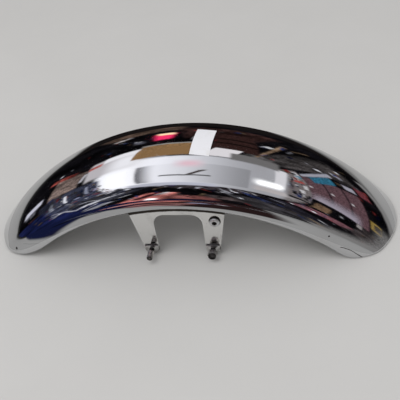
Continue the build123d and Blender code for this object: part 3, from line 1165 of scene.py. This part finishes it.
cupboard = [(door_azimuths, door_elevations, door_brown, 1.5)]
cupboard += [(door_azimuths, (foot, foot + gap_width), gap_black, door_soft) for foot in gap_feet]
cupboard += [(handle_azimuths, (foot, foot + handle_width), handle_grey, door_soft) for foot in handle_feet]
beside_cupboard = [
    ((123, 130), (25, 38), (0.04, 0.19, 0.3), 1.5, -0.5),
    ((130, 133), (22, 42), (0.5, 0.5, 0.58), 1.5, -0.5),
    ((127, 131), (14.5, 20), (0.5, 0.48, 0.56), 1.5),
    ((127, 134), (7, 12.5), (0.2, 0.05, 0.06), 1.5),
    ((99, 107), (8, 14), (0.4, 0.27, 0.06), 1.5),
    ((100.5, 105.5), (8, 12), (0.05, 0.035, 0.02), 1.0),
    ((90, 93.5), (18.5, 21), (0.42, 0.38, 0.38), 1.0),
    ((159.5, 162.5), (27, 30.5), (0.75, 0.75, 0.78), 1.2),
]
for card in cupboard + beside_cupboard:
    room = wall_card(room, *card)
glare = fading(dome_azimuth, door_azimuths[0], glare_reach, door_soft)
room = lay(room, glare * inside_of(dome_elevation, glare_elevations, glare_soft), glare_colour)

posters = ((85, 128), (43.5, 53), (1.5, 4.5), (0.8, 2.4), 40)
room = scatter(room, *posters)
print("%d cards for the cupboard and what is beside it" % len(cupboard + beside_cupboard))

# %% [markdown]
# The crown mirrors the ceiling, which is brightest towards the front end. A long panel hangs under it,
# with its front end in shade, and the tops of boards and sheets stand against it.

# %% Ceiling and its panel
ceiling_tint = np.array((0.98, 0.98, 1.04))
ceiling_across, ceiling_along = (-1.02, 0.72), (-0.6, 0.48)
panel_across, panel_along = (-0.56, 0.36), (-0.37, 0.25)
ceiling_level, ceiling_drop, panel_level = 1.5, 0.92, 1.42
ceiling_soft_x, ceiling_soft_y, panel_soft = 0.1, 0.06, 0.02
fade_middle, fade_reach = -0.05, 0.9
fade = smooth((overhead_x - fade_middle) / fade_reach + 0.5)[..., None]
on_ceiling = inside_of(overhead_x, ceiling_across, ceiling_soft_x)
on_ceiling = on_ceiling * inside_of(overhead_y, ceiling_along, ceiling_soft_y)
room = lay(room, on_ceiling, (ceiling_level - ceiling_drop * fade) * ceiling_tint)
room = ceiling_card(room, panel_across, panel_along, (panel_level - fade) * ceiling_tint, panel_soft)
print("ceiling from %.2f to %.2f" % (ceiling_level - ceiling_drop, ceiling_level))

# %% Things on the ceiling
ceiling_cards = [
    # Pale end wall with a red corner
    ((-1.35, -0.6), (0.34, 0.98), (0.78, 0.74, 0.77), 0.1),
    ((-0.92, -0.5), (0.3, 0.8), (1.35, 1.34, 1.4), 0.35),
    ((-1.12, -0.62), (0.8, 1.0), (1.3, 1.28, 1.34), 0.08),
    ((-1.36, -1.12), (0.74, 0.86), (0.6, 0.15, 0.13), 0.06),
    # Cool strip on the left, bright lamp at the front and a pink glow
    ((-0.7, 0.1), (-0.66, -0.4), (0.75, 0.76, 0.88), 0.1),
    ((-0.98, -0.58), (-0.42, 0.3), (1.7, 1.7, 1.75), 0.22),
    ((-0.2, -0.03), (0.18, 0.32), (1.2, 0.82, 0.92), 0.14),
    # Branching cable under the panel
    ((-0.34, 0.06), (-0.042, -0.018), (0.08, 0.08, 0.08), 0.02),
    ((-0.075, -0.025), (-0.02, 0.1), (0.08, 0.065, 0.06), 0.025, 1.0),
    # Grey and white fields and a lamp towards the rear
    ((0.4, 0.74), (-0.32, -0.08), (0.72, 0.67, 0.67), 0.08),
    ((0.58, 0.7), (0.0, 0.5), (1.05, 1.03, 1.07), 0.03),
    ((0.42, 0.66), (-0.04, 0.06), (3.0, 3.0, 3.0), 0.12),
    # Brown board and its pale top
    ((-0.68, -0.12), (1.06, 1.14), (0.45, 0.42, 0.4), 0.04),
    ((-0.66, -0.14), (0.52, 1.06), (0.38, 0.22, 0.1), 0.03),
    # Dark red boards with gaps between them
    ((0.0, 0.43), (0.8, 2.6), (0.045, 0.021, 0.019)),
    ((0.0, 0.43), (1.15, 1.25), (0.012, 0.007, 0.006), 0.06),
    ((0.0, 0.43), (1.55, 1.7), (0.012, 0.007, 0.006), 0.08),
    # White and grey sheets
    ((0.0, 0.235), (0.5, 0.84), (1.15, 1.1, 1.13), 0.02, 0.25),
    ((0.18, 0.62), (0.45, 0.68), (0.24, 0.23, 0.23)),
]
for card in ceiling_cards:
    room = ceiling_card(room, *card)
fold_along, fold_reach, fold_soft, fold_grey = (-0.35, 0.25), 0.2, 0.03, (0.2, 0.2, 0.22)
panel_fold = fading(overhead_x, panel_across[0], fold_reach, fold_soft)
room = lay(room, panel_fold * inside_of(overhead_y, fold_along, fold_soft), fold_grey)
print("%d cards on the ceiling" % len(ceiling_cards))

# %% Where the walls meet the ceiling and the floor
ceiling_line = ((-100, -44), (40, 45), (1.0, 4.0), (0.8, 2.2), 34)
room = scatter(room, *ceiling_line)
far_floor = (0.3, 0.29, 0.285)
floor_lines = [
    ((33, 104), (-5, 9.5), far_floor, 12.0),
    ((24, 96), (-5, 5), far_floor, 2.5),
    ((94, 144), (-5, 3), far_floor),
]
for card in floor_lines:
    room = wall_card(room, *card)
print("highest level in the room %.1f" % room.max())

# %% [markdown]
# The dome gives light only to mirrors, so the soft lamps alone light the part. The dark parts of its
# walls get a fine noise in the shader, which is sharper than the points of the mesh.

# %% Hang the dome where only mirrors see it
wall_foot, wall_top = (0.5, 1.6), (9.6, 8.2)
dark_level = (0.5, 0.2)


def mirrored_mesh(name, points, colours):
    """Closed band of points that gives light in the colours of its points, and shows in mirrors alone."""
    ids = np.arange(points[..., 0].size).reshape(points.shape[:2])
    stand = stage_mesh(name, points.reshape(-1, 3), closed_faces(ids))
    light = stand.data.color_attributes.new("light", "FLOAT_COLOR", "POINT")
    opaque = np.ones_like(colours[..., :1])
    light.data.foreach_set("color", np.concatenate([colours, opaque], axis=-1).ravel())
    for way in ("camera", "diffuse", "transmission", "volume_scatter", "shadow"):
        setattr(stand, "visible_" + way, False)
    finish, shader, place = new_finish(name + "_glow")
    shader.inputs["Base Color"].default_value = (0, 0, 0, 1)
    shader.inputs["Specular IOR Level"].default_value = 0.0
    shader.inputs["Emission Strength"].default_value = 1.0
    glow = place.node("ShaderNodeVertexColor", {"layer_name": "light"})
    height = parted(place)[2]
    on_dark_wall = ramp(height, *wall_foot) * ramp(height, *wall_top) * ramp(glow, *dark_level)
    grains = ramp(noise(place, 6.0, 6.0, 0.7), 0.34, 0.68)
    strength = 1 + on_dark_wall * (1.2 * grains - 0.55)
    shaded = place.node("ShaderNodeVectorMath", {"operation": "SCALE"}, {0: glow, "Scale": strength})
    shaded.into(shader.inputs["Emission Color"])
    finish.cycles.emission_sampling = "NONE"
    stand.data.materials.append(finish)
    return stand


dome = mirrored_mesh("mirrored_room", dome_radius * direction, room)
print("dome of %d faces" % len(dome.data.polygons))

# %% [markdown]
# Near the part the floor is pale, but further off a workshop's floor lies in the shade of its benches,
# and that shade makes the dark band on the lower flank. Dark paint on the floor itself would show in the
# picture. So a ring just above the floor, again for mirrors alone, gets darker with distance and has a
# dark area on each side. It starts far enough out that the legs of the bracket still mirror the floor.

# %% Ring on the floor
ring_height = 0.0008
ring_steps, ring_rows = 360, 140
inner_x, inner_y = 0.31, 0.168
ring_turn = np.linspace(0, 2 * pi, ring_steps + 1)[:-1]
ring_growth = np.linspace(0, 1, ring_rows)
ring_x = inner_x * (dome_radius / inner_x) ** ring_growth
ring_y = inner_y * (dome_radius / inner_y) ** ring_growth
floor_x = ring_x[:, None] * np.cos(ring_turn)[None, :]
floor_y = ring_y[:, None] * np.sin(ring_turn)[None, :]
floor_away = np.hypot(floor_x, floor_y)
floor_azimuth = np.degrees(np.arctan2(floor_x, -floor_y))

floor_tint = np.array((1.0, 0.99, 0.975))
near_level, far_drop = 0.46, 0.14
drop_from, drop_reach = 0.16, 1.6
front_dim, front_soft, front_from, front_reach = 0.93, 0.5, 0.7, 0.8
right_dim, right_from, right_reach = 0.45, 0.3, 0.3
right_azimuth, right_soft = 128, 10
far_front = smooth(0.5 - floor_x / front_soft) * smooth((floor_away - front_from) / front_reach)
far_right = smooth((floor_azimuth - right_azimuth) / right_soft)
far_right = far_right * smooth((floor_away - right_from) / right_reach)
floor_level = near_level - far_drop * smooth((floor_away - drop_from) / drop_reach)
floor_level = floor_level * (1 - front_dim * far_front) * (1 - right_dim * far_right)
ring_light = floor_level[..., None] * floor_tint
print("floor level from %.2f to %.2f" % (floor_level.min(), floor_level.max()))

# %% Shade on the floor
def beyond(point, facing, soft):
    """1 on the far side of a line on the floor, through a point and across the direction it faces."""
    facing = Vector(facing).normalized()
    return smooth(((floor_x - point[0]) * facing[0] + (floor_y - point[1]) * facing[1]) / soft + 0.5)


def beyond_all(lines):
    """1 on the far side of every one of the lines."""
    return np.prod([beyond(*line) for line in lines], axis=0)


middle_lines = [
    ((0, -0.215), (0, -1), 0.02),
    ((-0.05, -0.225), (0.49, -0.87), 0.03),
    ((0.15, -0.2), (-0.99, -0.137), 0.06),
]
front_lines = [
    ((-0.2, -0.14), (-0.95, 0.32), 0.03),
    ((0, -0.122), (0, -1), 0.012),
    ((-0.22, -0.135), (0.313, -0.95), 0.02),
]
right_lines = [
    ((0, 0.19), (0, 1), 0.02),
    ((-0.2, 0.2), (0.766, 0.643), 0.06),
    ((0.1, 0.2), (-0.97, 0.24), 0.06),
]
rear_line, rear_reach = ((0.25, 0.43), (-0.79, 0.61), 0.2), 0.1
navy_from, navy_reach = 0.08, 0.2
brown_shade, navy_shade, black_shade = (0.03, 0.016, 0.016), (0.01, 0.014, 0.055), (0.012, 0.01, 0.01)

left_shade = np.maximum(beyond_all(middle_lines), beyond_all(front_lines))
right_shade = np.maximum(beyond_all(right_lines), beyond(*rear_line) * smooth(floor_x / rear_reach))
towards_front = smooth((-floor_x - navy_from) / navy_reach)
left_colour = lay(np.zeros(ring_light.shape) + brown_shade, towards_front, navy_shade)
ring_light = lay(ring_light, left_shade, left_colour)
ring_light = lay(ring_light, right_shade, black_shade)
shaded_share = (np.maximum(left_shade, right_shade) > 0.5).mean()
print("shade covers %.0f%% of the ring's points" % (100 * shaded_share))

# %% Things on the floor
floor_cards = [
    ((-0.34, -0.1), (-0.95, -0.5), (0.72, 0.25, 0.22)),
    ((-0.16, -0.02), (-0.38, -0.3), (0.4, 0.17, 0.17)),
    ((-0.12, -0.03), (-0.275, -0.245), (0.46, 0.25, 0.25)),
    ((-0.045, 0.0), (-0.44, -0.39), (0.42, 0.42, 0.62)),
    ((0.02, 0.045), (-0.46, -0.42), (0.8, 0.78, 0.82)),
]
floor_things = 36
things_along, things_out = (-0.45, 0.2), (0.26, 0.9)
thing_widths, thing_depths, thing_levels = (0.02, 0.12), (0.01, 0.06), (0.5, 1.2)
for _ in range(floor_things):
    x, y = clutter.uniform(*things_along), -clutter.uniform(*things_out)
    width, depth = clutter.uniform(*thing_widths), clutter.uniform(*thing_depths)
    colour = clutter.choice(clutter_colours) * clutter.uniform(*thing_levels)
    floor_cards.append(((x, x + width), (y, y + depth), colour))

soft_along, soft_out = 0.02, 0.012
for card_x, card_y, colour in floor_cards:
    on_card = inside_of(floor_x, card_x, soft_along) * inside_of(floor_y, card_y, soft_out)
    ring_light = lay(ring_light, on_card, colour)
ring_points = np.stack([floor_x, floor_y, np.full_like(floor_x, ring_height)], axis=-1)
ring = mirrored_mesh("mirrored_floor", ring_points, ring_light)
print("floor ring of %d faces" % len(ring.data.polygons))
